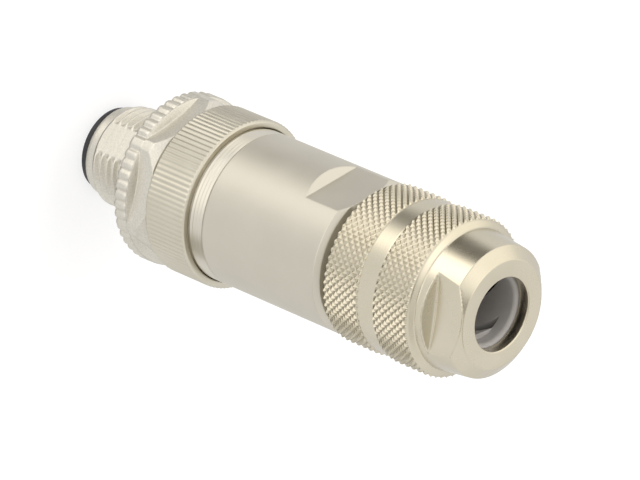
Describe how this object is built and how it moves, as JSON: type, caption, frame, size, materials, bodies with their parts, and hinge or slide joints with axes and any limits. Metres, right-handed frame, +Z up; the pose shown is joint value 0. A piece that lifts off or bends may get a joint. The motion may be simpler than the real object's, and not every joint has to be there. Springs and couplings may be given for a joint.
{
  "type": "m12 connector",
  "caption": "Round metal cable plug with a threaded coupling nose, contact pins in a cup, a knurled ring, a plain sleeve and a screwed cable gland.",
  "frame": {"origin": "centre of the rim of the contact carrier's cup, on which the plug stands", "axes": "+Z up the plug's axis from the mating end to the cable end; +Y through the coding key; the sleeve's spanner flats face +Y and -Y"},
  "size_m": [0.0202, 0.0202, 0.0605],
  "materials": {
    "nickel_cast": "satin nickel plating on a die-cast screw",
    "nickel_turned": "satin nickel plating on turned brass",
    "black_polyamide": "moulded",
    "grey_polyamide": "moulded",
    "gold_contact": "gold plating on turned brass",
    "zinc_screw": "zinc-plated steel",
    "spring_wire": "drawn stainless wire",
    "black_rubber": "moulded nitrile rubber"
  },
  "bodies": {
    "housing": {"contact_carrier": "black_polyamide", "knurled_housing": "nickel_turned", "housing_seal_ring": "black_rubber", "retaining_ring": "spring_wire", "contact_pin_1": "gold_contact", "contact_pin_2": "gold_contact", "contact_pin_3": "gold_contact", "contact_pin_4": "gold_contact", "terminal_block": "black_polyamide", "terminal_screw_1": "zinc_screw", "terminal_screw_2": "zinc_screw", "terminal_screw_3": "zinc_screw", "terminal_screw_4": "zinc_screw", "spacer_tube": "grey_polyamide", "shield_ring": "nickel_turned", "shield_clamp_ring": "nickel_turned", "sleeve": "nickel_turned", "thrust_washer": "nickel_turned"},
    "coupling": {"coupling_screw": "nickel_cast"},
    "cage": {"clamp_cage": "grey_polyamide", "cable_seal": "black_rubber"},
    "gland": {"gland_nut": "nickel_turned"}
  },
  "joints": [
    {"name": "coupling_spin", "type": "hinge", "parent": "housing", "child": "coupling", "pos_m": [0, 0, 0.0127], "axis": [0, 0, 1], "continuous": true},
    {"name": "gland_advance", "type": "slide", "parent": "housing", "child": "cage", "axis": [0, 0, -1], "range_m": [-0.004, 0.001]},
    {"name": "gland_turning", "type": "hinge", "parent": "cage", "child": "gland", "pos_m": [0, 0, 0.0514], "axis": [0, 0, -1], "range_deg": [-1440, 360]}
  ],
  "couplings": [
    {"joint": "gland_turning", "follows": "gland_advance", "rad_per_m": 6283.2}
  ]
}
